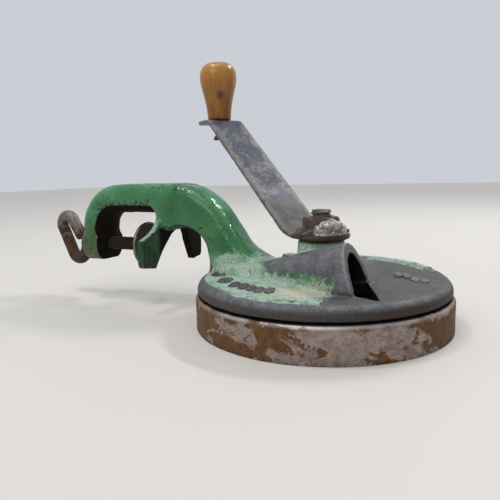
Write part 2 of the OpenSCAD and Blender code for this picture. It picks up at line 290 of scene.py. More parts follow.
class Shader:
    """Builds one material from nodes, with short calls for the usual ones."""

    def __init__(self, name):
        self.material = bpy.data.materials.new(name)
        self.material.use_nodes = True
        self.tree = self.material.node_tree
        self.tree.nodes.clear()
        output = self.tree.nodes.new("ShaderNodeOutputMaterial")
        self.surface = self.tree.nodes.new("ShaderNodeBsdfPrincipled")
        self.tree.links.new(self.surface.outputs[0], output.inputs["Surface"])
        self.place = self.tree.nodes.new("ShaderNodeTexCoord").outputs["Object"]

    def put(self, socket, value):
        if isinstance(value, bpy.types.NodeSocket):
            self.tree.links.new(value, socket)
        elif value is not None:
            socket.default_value = (*value, 1) if socket.type == "RGBA" else value

    def node(self, kind, result, inputs, **settings):
        """Adds a node with these settings and inputs, and gives one of its outputs."""
        node = self.tree.nodes.new("ShaderNode" + kind)
        for key, value in settings.items():
            setattr(node, key, value)
        for key, value in inputs.items():
            self.put(node.inputs[key], value)
        return node.outputs[result]

    def set(self, **inputs):
        for key, value in inputs.items():
            self.put(self.surface.inputs[key.replace("_", " ").title().replace("Ior", "IOR")], value)

    def stretched(self, scale):
        return self.node("Mapping", 0, {"Vector": self.place, "Scale": scale})

    def noise(self, size, detail=3.0, rough=0.55, vector=None, warp=0.0):
        """Noise from 0 to 1 with lumps of about the given size."""
        return self.node("TexNoise", "Fac", {
            "Vector": self.place if vector is None else vector, "Scale": 1 / size, "Detail": detail,
            "Roughness": rough, "Distortion": warp})

    def cells(self, size):
        return self.node("TexVoronoi", "Distance", {"Vector": self.place, "Scale": 1 / size})

    def value(self, name):
        return self.node("Attribute", "Fac", {}, attribute_name=name)

    def math(self, kind, a, b):
        return self.node("Math", 0, {0: a, 1: b}, operation=kind)

    def add(self, a, b):
        return self.math("ADD", a, b)

    def times(self, a, b):
        return self.math("MULTIPLY", a, b)

    def most(self, a, b):
        return self.math("MAXIMUM", a, b)

    def without(self, a):
        return self.math("SUBTRACT", 1.0, a)

    def sway(self, noise, width):
        """The same noise about zero, and this many times as wide."""
        return self.times(self.add(noise, -0.5), width)

    def step(self, value, start, end):
        """0 below start and 1 above end, or the other way round if start is above end."""
        rising = start < end
        return self.node("MapRange", "Result", {
            "Value": value, "From Min": min(start, end), "From Max": max(start, end),
            "To Min": 0 if rising else 1, "To Max": 1 if rising else 0}, interpolation_type="SMOOTHSTEP")

    def spots(self, size, detail, rough, start, end):
        """1 where noise of this size is above the limits."""
        return self.step(self.noise(size, detail, rough), start, end)

    def blend(self, factor, a, b):
        return self.node("Mix", 2, {"Factor": factor, 6: a, 7: b}, data_type="RGBA")

    def over(self, under, cover, strength, colour):
        """Lays a colour over another one where cover is high."""
        return self.blend(self.times(cover, strength), under, colour)

    def between(self, factor, a, b):
        return self.node("Mix", 0, {"Factor": factor, 2: a, 3: b})

    def bump(self, height, depth):
        return self.node("Bump", 0, {"Strength": 1.0, "Distance": depth, "Height": height})


# ---- colours, linear --------------------------------------------------------

IRON = (0.074, 0.076, 0.083)
IRON_PALE = (0.150, 0.155, 0.165)
IRON_BROWN = (0.036, 0.025, 0.018)
IRON_POLISH_HIGHLIGHT = (0.300, 0.310, 0.335)
CHIP = (0.020, 0.013, 0.009)
GREEN = (0.034, 0.170, 0.062)
GREEN_LIGHT = (0.062, 0.240, 0.098)
GREEN_DARK = (0.014, 0.045, 0.012)
OLIVE = (0.052, 0.066, 0.008)
MINT = (0.190, 0.310, 0.222)
MINT_PALE = (0.370, 0.460, 0.385)
CREAM = (0.520, 0.445, 0.325)
DARK_GRIME_AND_SHADE = (0.008, 0.005, 0.003)
RUST = (0.130, 0.052, 0.022)
RUST_DARK = (0.035, 0.019, 0.012)
RUST_ORANGE = (0.300, 0.130, 0.035)
TIN = (0.350, 0.290, 0.262)
TIN_DULL = (0.200, 0.155, 0.133)
BARE_BROWN = (0.095, 0.038, 0.011)
BARE_TAN = (0.150, 0.068, 0.022)
STEEL = (0.140, 0.140, 0.146)
STEEL_BLUE = (0.062, 0.072, 0.100)
STEEL_WARM = (0.195, 0.187, 0.172)
WOOD_LIGHT = (0.440, 0.208, 0.040)
WOOD_DARK = (0.230, 0.082, 0.012)
IRON_GLINT = (0.26, 0.275, 0.30)
IRON_BLUE = (0.082, 0.092, 0.118)
TIN_SPECK = (0.075, 0.052, 0.040)
TIN_PIT_AND_SHADE = (0.022, 0.015, 0.012)
TIN_PAINTED_HIGHLIGHT = (0.50, 0.49, 0.49)
STEEL_INK = (0.030, 0.035, 0.052)
STEEL_SCUFF = (0.34, 0.34, 0.34)
STEEL_DUST = (0.36, 0.37, 0.40)
STEEL_CLEAN = (0.078, 0.078, 0.073)
STEEL_CLEAN_PALE = (0.112, 0.111, 0.104)
STEEL_BROWN = (0.125, 0.085, 0.058)
HUB_BROWN = (0.055, 0.032, 0.020)
SLAG_GREY = (0.20, 0.18, 0.17)
SLAG_PALE = (0.56, 0.55, 0.54)
SLAG_GROOVE = (0.060, 0.042, 0.034)
SLAG_DARK = (0.075, 0.055, 0.043)
WOOD_PORE = (0.090, 0.030, 0.006)
WOOD_PAINTED_SHADE = (0.125, 0.036, 0.003)
WOOD_SMUDGE = (0.040, 0.015, 0.005)


def cast_enamel():
    """Green enamel over iron, worn, dirtied, darkened by painted shade and chipped where the body's masks
    say.
    """
    s = Shader("cast_enamel")
    patch = s.noise(6 * MM, 6, 0.62, warp=0.5)
    fleck = s.noise(1.5 * MM, 5, 0.74)
    speck = s.noise(0.8 * MM, 4, 0.8)
    fine = s.noise(0.5 * MM, 3, 0.6)
    ragged = s.add(s.sway(fleck, 0.8), s.sway(speck, 0.6))
    # paint holds where the coat outweighs the wear
    hold = s.add(s.add(s.value("coat"), s.sway(patch, 1.1)), ragged)
    painted = s.step(s.add(hold, s.times(s.value("edge"), -0.70)), 0.43, 0.55)
    bare = s.without(painted)
    thin = s.step(s.add(s.add(s.value("pale"), s.sway(patch, 1.1)), ragged), 0.40, 0.56)
    green = s.blend(s.step(s.noise(16 * MM, 3), 0.35, 0.7), GREEN, GREEN_LIGHT)
    green = s.over(green, s.spots(4 * MM, 5, 0.7, 0.52, 0.66), 0.35, GREEN_DARK)
    # painted shade: darker green on the fork's far prong and the leg's near side
    green = s.blend(s.value("shade"), green, GREEN_DARK)
    green = s.over(green, s.value("olive"), 0.85, OLIVE)
    # thin paint: mint with green islands, cream chalk and specks of iron
    worn_paint = s.blend(s.spots(1.6 * MM, 5, 0.72, 0.36, 0.64), MINT, MINT_PALE)
    island = s.add(s.noise(11 * MM, 5, 0.6, warp=0.6), s.times(ragged, 0.30))
    worn_paint = s.over(worn_paint, s.step(island, 0.52, 0.62), 0.65, GREEN_LIGHT)
    chalk = s.add(s.noise(1.1 * MM, 5, 0.8), s.times(s.value("cream"), 0.17))
    worn_paint = s.over(worn_paint, s.step(chalk, 0.58, 0.64), 0.9, CREAM)
    worn_paint = s.over(worn_paint, s.spots(0.9 * MM, 4, 0.75, 0.55, 0.61), 0.80, IRON)
    paint = s.blend(thin, green, worn_paint)
    # chips through the paint are rare, and crowd where the mask chip is high
    small = s.add(s.noise(2.4 * MM, 4, 0.62, warp=1.2), s.times(s.value("chip"), 0.17))
    wide = s.add(s.noise(5 * MM, 6, 0.68, warp=0.8), s.times(s.value("chip"), 0.07))
    chips = s.times(s.most(s.step(small, 0.655, 0.680), s.step(wide, 0.655, 0.675)), painted)
    iron = s.blend(s.spots(8 * MM, 5, 0.65, 0.36, 0.66), IRON, IRON_PALE)
    iron = s.over(iron, s.step(speck, 0.52, 0.60), 0.70, IRON_BROWN)
    iron = s.over(iron, s.spots(0.9 * MM, 4, 0.8, 0.54, 0.61), 0.55, IRON_GLINT)
    iron = s.over(iron, s.spots(30 * MM, 3, 0.5, 0.45, 0.62), 0.35, IRON_BLUE)
    # rubbed edges and worn mark tops, lightened also by a painted highlight
    iron = s.blend(s.times(s.value("polish"), s.step(speck, 0.40, 0.62)), iron, IRON_POLISH_HIGHLIGHT)
    iron = s.blend(s.value("brown"), iron, IRON_BROWN)
    colour = s.over(s.blend(painted, iron, paint), chips, 0.93, CHIP)
    # soiling together with painted shade, darkening recesses, undersides and the feed passage
    grimy_and_shaded = s.step(s.add(s.value("grime"), s.sway(fleck, 0.5)), 0.25, 0.80)
    colour = s.blend(grimy_and_shaded, colour, DARK_GRIME_AND_SHADE)
    gloss = s.between(thin, s.between(fine, 0.05, 0.12), 0.60)
    rough = s.between(painted, s.between(fine, 0.52, 0.70), gloss)
    rough = s.between(s.most(grimy_and_shaded, chips), rough, 0.80)
    metal = s.times(s.times(bare, 0.28), s.without(grimy_and_shaded))
    dull = s.most(grimy_and_shaded, s.times(s.value("shade"), 1.2))
    height = s.add(s.times(painted, 0.4), s.add(s.times(fine, 0.14), s.noise(1.8 * MM, 3, 0.5)))
    height = s.add(height, s.times(chips, -0.7))
    height = s.add(height, s.times(s.times(bare, s.noise(1.0 * MM, 4, 0.7)), 1.3))
    s.set(base_color=colour, roughness=rough, metallic=metal,
          specular_ior_level=s.between(dull, 0.5, 0.10), normal=s.bump(height, 0.24 * MM))
    return s.material


def tinned():
    """Dull tin plate with brown bare patches, level smears and dark pitting, painted contact shadow as
    dark specks along the bottom edge, a painted highlight along the top corner, and soiling with painted
    shade on the face under the plate.
    """
    s = Shader("tinned_drum")
    patch = s.noise(21 * MM, 6, 0.58, vector=s.stretched((1, 1, 1.5)), warp=0.7)
    fleck = s.noise(1.6 * MM, 5, 0.74)
    fine = s.noise(0.6 * MM, 4, 0.65)
    smear = s.noise(7 * MM, 6, 0.72, vector=s.stretched((1, 1, 1.6)))
    grime = s.value("grime")
    lean = s.add(s.add(patch, s.sway(fleck, 0.16)), s.sway(s.value("wear"), 0.26))
    bare = s.step(lean, 0.525, 0.545)
    tin = s.blend(s.step(smear, 0.36, 0.62), TIN_DULL, TIN)
    tin = s.over(tin, s.spots(1.0 * MM, 5, 0.8, 0.52, 0.64), 0.75, TIN_DULL)
    tin = s.over(tin, s.spots(1.1 * MM, 4, 0.8, 0.57, 0.65), 0.75, TIN_SPECK)
    brown = s.blend(s.spots(5 * MM, 6, 0.7, 0.38, 0.66), BARE_BROWN, BARE_TAN)
    brown = s.over(brown, s.spots(1.2 * MM, 4, 0.75, 0.56, 0.66), 0.5, TIN_DULL)
    colour = s.over(tin, bare, 0.95, brown)
    pits_and_foot_shade = s.times(s.step(s.cells(1.8 * MM), 0.24, 0.12), s.step(s.noise(6 * MM, 3), 0.54, 0.64))
    # painted contact shadow: dark specks along the drum's bottom edge
    pits_and_foot_shade = s.most(pits_and_foot_shade, s.times(s.value("rim"), s.step(fleck, 0.46, 0.58)))
    colour = s.over(colour, pits_and_foot_shade, 0.85, TIN_PIT_AND_SHADE)
    # painted highlight: a bright line along the drum's top corner
    colour = s.blend(s.value("bright"), colour, TIN_PAINTED_HIGHLIGHT)
    # soiling and painted shade on the face under the plate
    colour = s.blend(grime, colour, DARK_GRIME_AND_SHADE)
    rough = s.between(grime, s.between(bare, s.between(fine, 0.34, 0.52), 0.60), 0.85)
    metal = s.times(s.between(bare, 0.60, 0.05), s.without(grime))
    height = s.add(s.times(bare, -0.3), s.add(s.times(fine, 0.12), s.times(pits_and_foot_shade, -0.5)))
    height = s.add(height, s.times(s.noise(9 * MM, 2), 0.7))
    s.set(base_color=colour, roughness=rough, metallic=metal,
          specular_ior_level=s.between(bare, 0.5, 0.15), normal=s.bump(height, 0.2 * MM))
    return s.material


def crank_steel():
    """Grey strip steel: blue mottling in the middle, warm worn edges, rust specks."""
    s = Shader("crank_steel")
    mottle = s.noise(5.5 * MM, 6, 0.74, warp=0.7)
    smear = s.noise(11 * MM, 5, 0.66, warp=0.9)
    fleck = s.noise(1.1 * MM, 5, 0.78)
    fine = s.noise(0.45 * MM, 3, 0.6)
    broad = s.noise(15 * MM, 5, 0.7, warp=0.4)
    clean = s.value("clean")
    blue = s.add(s.times(s.value("centre"), 0.52), s.add(s.sway(mottle, 1.5), s.sway(broad, 2.2)))
    blue = s.times(s.step(blue, 0.16, 0.42), s.without(clean))
    colour = s.blend(s.step(smear, 0.38, 0.62), STEEL, STEEL_WARM)
    colour = s.over(colour, blue, 0.92, s.blend(s.step(mottle, 0.38, 0.62), STEEL_INK, STEEL_BLUE))
    scuffs = s.step(s.add(fleck, s.sway(broad, -0.9)), 0.56, 0.64)
    colour = s.blend(s.times(scuffs, s.between(clean, 0.40, 0.15)), colour, STEEL_SCUFF)
    colour = s.over(colour, s.spots(0.8 * MM, 4, 0.75, 0.57, 0.64), 0.45, STEEL_DUST)
    smooth_grey = s.blend(s.step(s.noise(9 * MM, 4), 0.4, 0.6), STEEL_CLEAN, STEEL_CLEAN_PALE)
    colour = s.blend(clean, colour, smooth_grey)
    brown = s.times(s.value("edge"), s.step(s.add(mottle, s.sway(fleck, 0.4)), 0.50, 0.60))
    colour = s.over(colour, brown, 0.8, STEEL_BROWN)
    specks = s.step(s.add(s.times(smear, 0.5), s.times(fleck, 0.5)), 0.565, 0.605)
    colour = s.over(colour, specks, 0.8, RUST)
    hub_rim = s.step(s.add(s.value("hub_rim"), s.sway(fleck, 0.8)), 0.40, 0.60)
    colour = s.over(colour, hub_rim, 0.9, HUB_BROWN)
    rough = s.between(blue, s.between(fine, 0.44, 0.62), 0.44)
    height = s.add(s.times(fleck, 0.4), s.add(s.times(fine, 0.15), s.times(specks, 0.5)))
    s.set(base_color=colour, roughness=rough, normal=s.bump(height, 0.16 * MM),
          metallic=s.times(s.without(hub_rim), s.between(clean, 0.3, 0.08)),
          specular_ior_level=s.between(clean, 0.25, 0.15))
    return s.material


def rusty(name, base, worn, rust, rust_at=0.5, shine=0.6, depth=0.3 * MM, gleam=0.3, worn_shine=0.85):
    """Iron whose worn places show metal and whose hollows hold rust."""
    s = Shader(name)
    patch = s.noise(5.72 * MM, 5, 0.65, warp=0.4)
    fleck = s.noise(1.21 * MM, 5, 0.75)
    fine = s.noise(0.35 * MM, 3, 0.6)
    worn_here = s.step(s.add(s.value("worn"), s.sway(patch, 1.1)), 0.42, 0.72)
    rust_here = s.step(s.add(patch, s.sway(fleck, 0.6)), rust_at, rust_at + 0.14)
    colour = s.blend(rust_here, base, rust)
    colour = s.blend(worn_here, colour, s.blend(s.step(fleck, 0.45, 0.65), worn, base))
    metal = s.between(worn_here, s.between(rust_here, shine, shine * 0.2), worn_shine)
    rough = s.between(worn_here, s.between(fine, 0.55, 0.75), s.between(fine, 0.32, 0.5))
    height = s.add(s.times(patch, 0.6), s.add(s.times(fleck, 0.5), s.times(fine, 0.2)))
    s.set(base_color=colour, roughness=rough, metallic=metal, specular_ior_level=gleam,
          normal=s.bump(height, depth))
    return s.material


def weld_metal():
    """Grey-white weld slag with brown hollows and an orange edge."""
    s = Shader("old_weld")
    lumps = s.noise(2.4 * MM, 4, 0.6, warp=0.5)
    fine = s.noise(0.4 * MM, 3, 0.6)
    grooves = s.step(s.noise(1.3 * MM, 5, 0.7, warp=0.8), 0.50, 0.40)
    colour = s.blend(s.step(lumps, 0.36, 0.58), SLAG_GREY, SLAG_PALE)
    colour = s.over(colour, grooves, 0.75, SLAG_GROOVE)
    dark = s.step(s.add(s.value("dark"), s.sway(lumps, 1.0)), 0.45, 0.80)
    colour = s.blend(dark, colour, SLAG_DARK)
    orange = s.step(s.add(s.value("orange"), s.sway(lumps, 0.9)), 0.45, 0.72)
    colour = s.blend(orange, colour, s.blend(s.step(fine, 0.45, 0.6), RUST_ORANGE, RUST))
    height = s.add(lumps, s.add(s.times(fine, 0.2), s.times(grooves, -0.5)))
    s.set(base_color=colour, roughness=s.between(lumps, 0.62, 0.38),
          metallic=s.between(orange, 0.5, 0.05), normal=s.bump(height, 0.25 * MM))
    return s.material


def varnished_wood():
    """Turned hardwood: upright grain, painted shade on the neck and base, under clear varnish."""
    s = Shader("varnished_wood")
    broad = s.noise(10 * MM, 3, 0.5, vector=s.stretched((1, 1, 0.20)))
    along = s.stretched((1, 1, 0.06))
    streak = s.noise(1.5 * MM, 4, 0.6, vector=along, warp=0.2)
    pore = s.noise(0.45 * MM, 4, 0.7, vector=along)
    grain = s.add(s.times(streak, 0.45), s.times(broad, 0.6))
    colour = s.blend(s.step(grain, 0.42, 0.74), WOOD_LIGHT, WOOD_DARK)
    colour = s.over(colour, s.step(pore, 0.54, 0.66), 0.45, WOOD_PORE)
    # painted shade: darker under the head and at the foot
    colour = s.over(colour, s.value("shade"), 0.8, WOOD_PAINTED_SHADE)
    smudge = s.step(s.add(s.value("smudge"), s.sway(s.noise(5 * MM, 5, 0.65), 1.2)), 0.30, 0.95)
    colour = s.over(colour, smudge, 0.75, WOOD_SMUDGE)
    height = s.add(s.times(streak, 0.3), s.times(pore, 0.2))
    s.set(base_color=colour, roughness=0.30, specular_ior_level=0.30, coat_weight=0.18,
          coat_roughness=0.10, normal=s.bump(height, 0.06 * MM))
    return s.material


def plain_steel(name, tone, rough=0.4):
    """Small steel parts: slight mottling and a few dark specks."""
    s = Shader(name)
    mottle = s.noise(3 * MM, 5, 0.65)
    fine = s.noise(0.4 * MM, 3, 0.6)
    colour = s.blend(s.step(mottle, 0.35, 0.68), tuple(c * 0.45 for c in tone), tone)
    colour = s.blend(s.spots(1.3 * MM, 4, 0.7, 0.64, 0.74), colour, RUST_DARK)
    s.set(base_color=colour, roughness=s.between(fine, rough, rough + 0.2), metallic=0.85,
          normal=s.bump(s.add(mottle, fine), 0.06 * MM))
    return s.material


# ---- the casting ------------------------------------------------------------

def cast_body():
    """The CAD casting, rebuilt finely, with melted inside corners and a cast skin."""
    voxel = 0.6 * MM
    piece = remeshed("body_casting", "cast_body", voxel)
    mesh = piece.data
    pairs = edge_pairs(mesh)
    points = coords(mesh)
    x, y, z = points.T / MM
    # wide blends where the leg meets the plate and where the hood fades into it
    leg_root = band(x, -84, -74, -30, -16) * smoothstep(26, 29, z) * smoothstep(36, 30, abs(y))
    hood_tail = band(x, -62, -50, 2, 16) * smoothstep(27, 29, z) * band(y, -52, -44, -8, -2)
    shoulder = band(x, -118, -114, -103, -100) * smoothstep(51, 55, z) * smoothstep(30, 24, abs(y))
    beam = smoothstep(-104, -112, x) * smoothstep(44, 50, z)
    jaw_step = band(x, -176, -170, -160, -156) * band(z, 46, 50, 58, 64)
    melt = np.clip(leg_root + hood_tail * 0.9 + shoulder + 0.35 * beam + jaw_step, 0, 1)
    rounds = int(round(36 * (0.85 * MM / voxel) ** 2))
    points = relax(points, pairs, rounds, melt, keep_size=False)
    points = relax(points, pairs, 4)
    # the fine marks are a piece of their own, so the plate is level under them
    above = points[:, 2] - PLATE_TOP
    for (mark_x, mark_y), width in PLATE_MARKS:
        near = np.hypot((points[:, 0] - mark_x * MM) / width,
                        (points[:, 1] - mark_y * MM) * 0.75) < 5.8 * MM
        low_there = near & (above > -1 * MM) & (above < 1.35 * MM)
        points[low_there, 2] = np.minimum(points[low_there, 2], PLATE_TOP + 0.05 * MM)
    set_coords(mesh, points)
    skin = 0.16 * noise_at(points, 9 * MM, 3, 2) + 0.07 * noise_at(points, 2.2 * MM, 5, 2)
    set_coords(mesh, points + vertex_normals(mesh) * (skin * MM)[:, None])
    paint_masks(mesh, pairs, voxel)
    return finish_piece(piece, "frame", cast_enamel(), ["body_casting"], edge_angle=None)


# raised marks on the plate: middle in mm, and width against the common lozenge
PLATE_MARKS = (((-57.5, -22), 1.68), ((-44.6, -37), 1.52), ((-34, -44.6), 1.0), ((-27.4, -46.8), 0.92),
               ((-21.6, -49), 0.92), ((-15.8, -50.8), 0.92), ((-10, -50.4), 0.96),
               ((42.2, 12.8), 0.88), ((47.6, 11.2), 0.88), ((53, 4.4), 0.88), ((58.2, 2.8), 0.88))
LOZENGE = ((0, -6.4), (2.5, -4.2), (2.5, 4.2), (0, 6.4), (-2.5, 4.2), (-2.5, -4.2))

# how wide and how high each layer of a raised mark is, as a share of the whole
MARK_LAYERS = ((1.10, -0.5), (1.06, 0.0), (1.0, 0.55), (0.93, 0.85), (0.80, 0.97), (0.55, 0.9),
               (0.3, 0.86), (0.02, 0.85))


def plate_marks():
    """The plate's raised lozenges, with sloping sides and worn, pitted tops."""
    outline = np.array(LOZENGE + LOZENGE[:1])
    outline = even_line(outline, 0.32)[:-1]
    turn = math.radians(16)
    verts, faces = [], []
    for (mark_x, mark_y), width in PLATE_MARKS:
        rings = []
        for grow, height in MARK_LAYERS:
            x, y = outline[:, 0] * width * grow, outline[:, 1] * grow
            rings.append(np.stack([mark_x + x * math.cos(turn) - y * math.sin(turn),
                                   mark_y + x * math.sin(turn) + y * math.cos(turn),
                                   np.full(len(x), PLATE_TOP / MM + height)], 1))
        ring_verts, ring_faces = ring_surface(np.array(rings) * MM)
        faces += [tuple(i + len(verts) for i in face) for face in ring_faces]
        verts += list(ring_verts)
    mesh = mesh_from("plate_marks", verts, faces)
    fix_normals(mesh)
    points = coords(mesh)
    up = (points[:, 2] - PLATE_TOP) / MM
    points[:, 2] += noise_at(points, 1.3 * MM, 71, 2) * 0.22 * MM * smoothstep(0.2, 0.6, up)
    set_coords(mesh, points)
    left = points[:, 0] < 0
    store(mesh, coat=np.where(left, 0.30, 0.0) * smoothstep(0.7, 0.2, up), pale=1,
          brown=np.where(left, 0.50, 0.30) + 0.5 * noise_at(points, 1.6 * MM, 72, 2),
          # darker feet of the right-hand marks: soiling and painted shade in the crease
          grime=0.30 * smoothstep(0.5, 0.0, up) * ~left,
          # worn tops of the right-hand marks, lightened also by a painted highlight
          polish=np.where(left, 0.0, 0.55) * smoothstep(0.5, 0.9, up),
          edge=0, olive=0, shade=0, chip=0, cream=0)
    return finish_piece(link("plate_marks", mesh), "frame", material("cast_enamel"),
                        edge_angle=None)


def sharpness(points, normals, pairs, voxel):
    """How sharply the surface turns outwards, about 1 over its radius in millimetres."""
    bend = ((points - neighbour_mean(points, pairs)) * normals).sum(1)
    bend = bend / voxel ** 2 * 4 * MM
    for _ in range(2):
        bend = neighbour_mean(bend, pairs)
    return bend


def paint_masks(mesh, pairs, voxel):
    """Where the enamel holds, has paled or gone olive, where it is dirtied and darkened by painted shade,
    where edges carry a painted highlight, and where iron is brown.
    """
    points = coords(mesh)
    normals = vertex_normals(mesh)
    x, y, z = points.T / MM
    nx, ny, nz = normals.T
    radius = np.hypot(x, y)
    angle = np.degrees(np.arctan2(y, x))
    around = angle % 360
    edge = smoothstep(0.16, 0.42, sharpness(points, normals, pairs, voxel))
    above_plate = smoothstep(27.5, 28.2, z)

    # outer limit of the paint on the plate, which closes in towards the mouth
    limit = np.interp(around, (210, 243, 284, 293, 299, 306), (70, 67, 63.5, 61, 55, 44))
    on_plate = band(z, 27.0, 27.8, 29.5, 36) * smoothstep(limit + 1, limit - 1.5, radius)
    left_half = smoothstep(26, 2, x + 0.35 * (y + 40))
    front = smoothstep(-8, -22, y)
    arm = smoothstep(-30, -48, x) * smoothstep(28.5, 34, z)
    flank = smoothstep(-22, -32, y) * smoothstep(49, 37, z) * band(x, -45, -20, 19, 31)
    far_strip = band(radius, 59, 63, 68.5, 71) * band(angle, 20, 36, 104, 118) * above_plate
    boss = smoothstep(17.5, 15.5, radius) * smoothstep(29, 32, z)
    # the plate keeps its paint on the arm's side, and pale traces elsewhere
    coat = np.maximum(arm * 1.10, on_plate * left_half * (0.60 + 0.26 * front))
    coat = np.maximum(coat, flank * above_plate * 0.60)
    coat = np.maximum(coat, far_strip * 0.57)
    coat = np.maximum(coat, boss * 0.80)
    behind = np.maximum(y + 12, 0)
    crest = smoothstep(33, 40, z) * smoothstep(-46, -28, x - behind) * smoothstep(17.5, 21, radius)
    coat *= 1 - 0.95 * crest
    coat *= smoothstep(25.5, 27.2, z)
    # the top of the beam is worn through near the slope, and its far edge is chipped
    worn_top = band(x, -136, -124, -92, -82) * smoothstep(74, 79, z) * smoothstep(-12, -6, y)
    far_edge = smoothstep(7, 11, y) * smoothstep(0.1, 0.5, nz) * smoothstep(50, 60, z)
    coat -= 0.66 * worn_top + 0.22 * far_edge

    pale = on_plate * (0.60 + 0.30 * front) + far_strip * 0.8 + boss * 0.75
    pale = np.maximum(pale, flank * (0.28 + 0.40 * smoothstep(36, 30, z)))
    root = band(x, -80, -62, -34, -14) * smoothstep(47, 33, z)
    pale = np.maximum(pale, root * 0.75)
    coat = np.maximum(coat, root * (1 - crest) * smoothstep(29, 31, z) * 0.75)
    shoulder = band(x, -114.5, -113, -106, -103) * smoothstep(0.2, 0.6, nz) * smoothstep(64, 58, z)
    pale = np.maximum(pale * (1 - arm * smoothstep(46, 54, z)), shoulder * 0.66)
    # paint is chipped along the window, over the beam and on the fork
    near_side = smoothstep(-0.2, -0.7, ny)
    over_window = band(z, 62, 66, 70, 76) * band(x, -172, -160, -118, -110)
    on_fork = band(x, -113.5, -112, -106.5, -104) * smoothstep(64, 56, z)
    beam_top = smoothstep(76, 81, z) * smoothstep(-150, -135, x)
    chip = over_window * (0.35 + 0.5 * near_side) + 0.45 * beam_top + 0.30 * on_fork + 0.6 * edge * arm
    leg_chip = 0.3 * smoothstep(-60, -75, x) * band(z, 28, 30, 50, 66)

    window = band(x, -170, -165, -116, -110)
    on_fork_side = on_fork * smoothstep(58, 52, z)
    # darkening, part soiling and part painted shade: the jaw's inner face, the beam's underside over the
    # window, the fork's faces and far prong, under the leg's arch, inside the leg, under the plate and in
    # the feed passage
    dirt_and_shade = band(x, -172, -168, -152, -144) * smoothstep(0.25, 0.7, nx) * smoothstep(70, 66, z)  # jaw
    dirt_and_shade += smoothstep(-0.1, -0.6, nz) * window * smoothstep(72, 68, z) * 0.85
    dirt_and_shade += smoothstep(-0.4, -0.8, nx) * band(x, -114, -110, -111, -108) * 0.6  # fork's face
    dirt_and_shade += 0.75 * on_fork_side * smoothstep(-22, -14, y)
    dirt_and_shade += smoothstep(-0.1, -0.7, nz) * band(x, -108, -104, -72, -66) * smoothstep(60, 56, z) * 0.6
    dirt_and_shade += smoothstep(-0.5, -0.9, nx) * band(x, -80, -76, -70, -66) * 0.5  # inside of the leg
    dirt_and_shade += smoothstep(21.5, 20.6, z) * 0.7  # under the plate
    dirt_and_shade += band(radius, 14.5, 17, 58, 62) * band(z, 20.2, 20.8, 27.2, 27.9)  # feed passage
    leg_side = band(x, -112, -100, -52, -40) * near_side * smoothstep(36, 44, z)
    brown = smoothstep(27.0, 24.0, z) * (0.75 + 0.25 * smoothstep(20, 60, x))
    sandy = smoothstep(10, 30, x) * band(z, 27.5, 28.1, 29.5, 31)
    rusty_edges = 0.75 * edge * smoothstep(-60, -100, x)
    store(mesh, coat=coat, pale=pale,
          grime=np.maximum(dirt_and_shade, inside_hood(points, normals)),
          edge=edge * (0.25 + 0.75 * smoothstep(-20, -60, x)),
          olive=smoothstep(-156, -172, x) * smoothstep(66, 42, z),
          # painted shade on the fork's far prong and the leg's near side
          shade=on_fork_side * 0.7 * smoothstep(0.5, 0.2, nz) + 0.28 * leg_side,
          brown=np.maximum(np.maximum(brown, 0.58 * sandy), rusty_edges),
          chip=np.maximum(chip, leg_chip),
          # rubbed edges on the plate and hood, lightened also by a painted highlight
          polish=edge * smoothstep(-60, -20, x) * smoothstep(21.5, 23, z) * 0.8,
          cream=np.exp(-((around - 277) / 15) ** 2 - ((radius - 49) / 11) ** 2))


def inside_hood(points, normals):
    """1 on the walls of the feed passage, a round tunnel that narrows towards the spindle; these walls
    are painted dark, as soiling and painted shade.
    """
    x, y, z = points.T / MM
    yaw = math.radians(5.8)
    forward, sideways = x - 31.3, y + 24.3
    along = forward * math.cos(yaw) + sideways * math.sin(yaw)
    across = sideways * math.cos(yaw) - forward * math.sin(yaw)
    up = z - PLATE_TOP / MM
    reach = np.hypot(across, up + 1)
    side = normals[:, 1] * math.cos(yaw) - normals[:, 0] * math.sin(yaw)
    outward = (side * across + normals[:, 2] * (up + 1)) / np.maximum(reach, 1)
    tunnel = 20.3 + np.clip(along, -30, 0) * 0.46
    mouth = -up * math.tan(math.radians(20)) - 0.8
    return smoothstep(3.4, 2.2, reach - tunnel) * smoothstep(0.6, -0.6, along - mouth) \
        * smoothstep(-38, -35, along) * smoothstep(-1.5, -0.5, up) * smoothstep(0.2, -0.2, outward)


# ---- drum -------------------------------------------------------------------

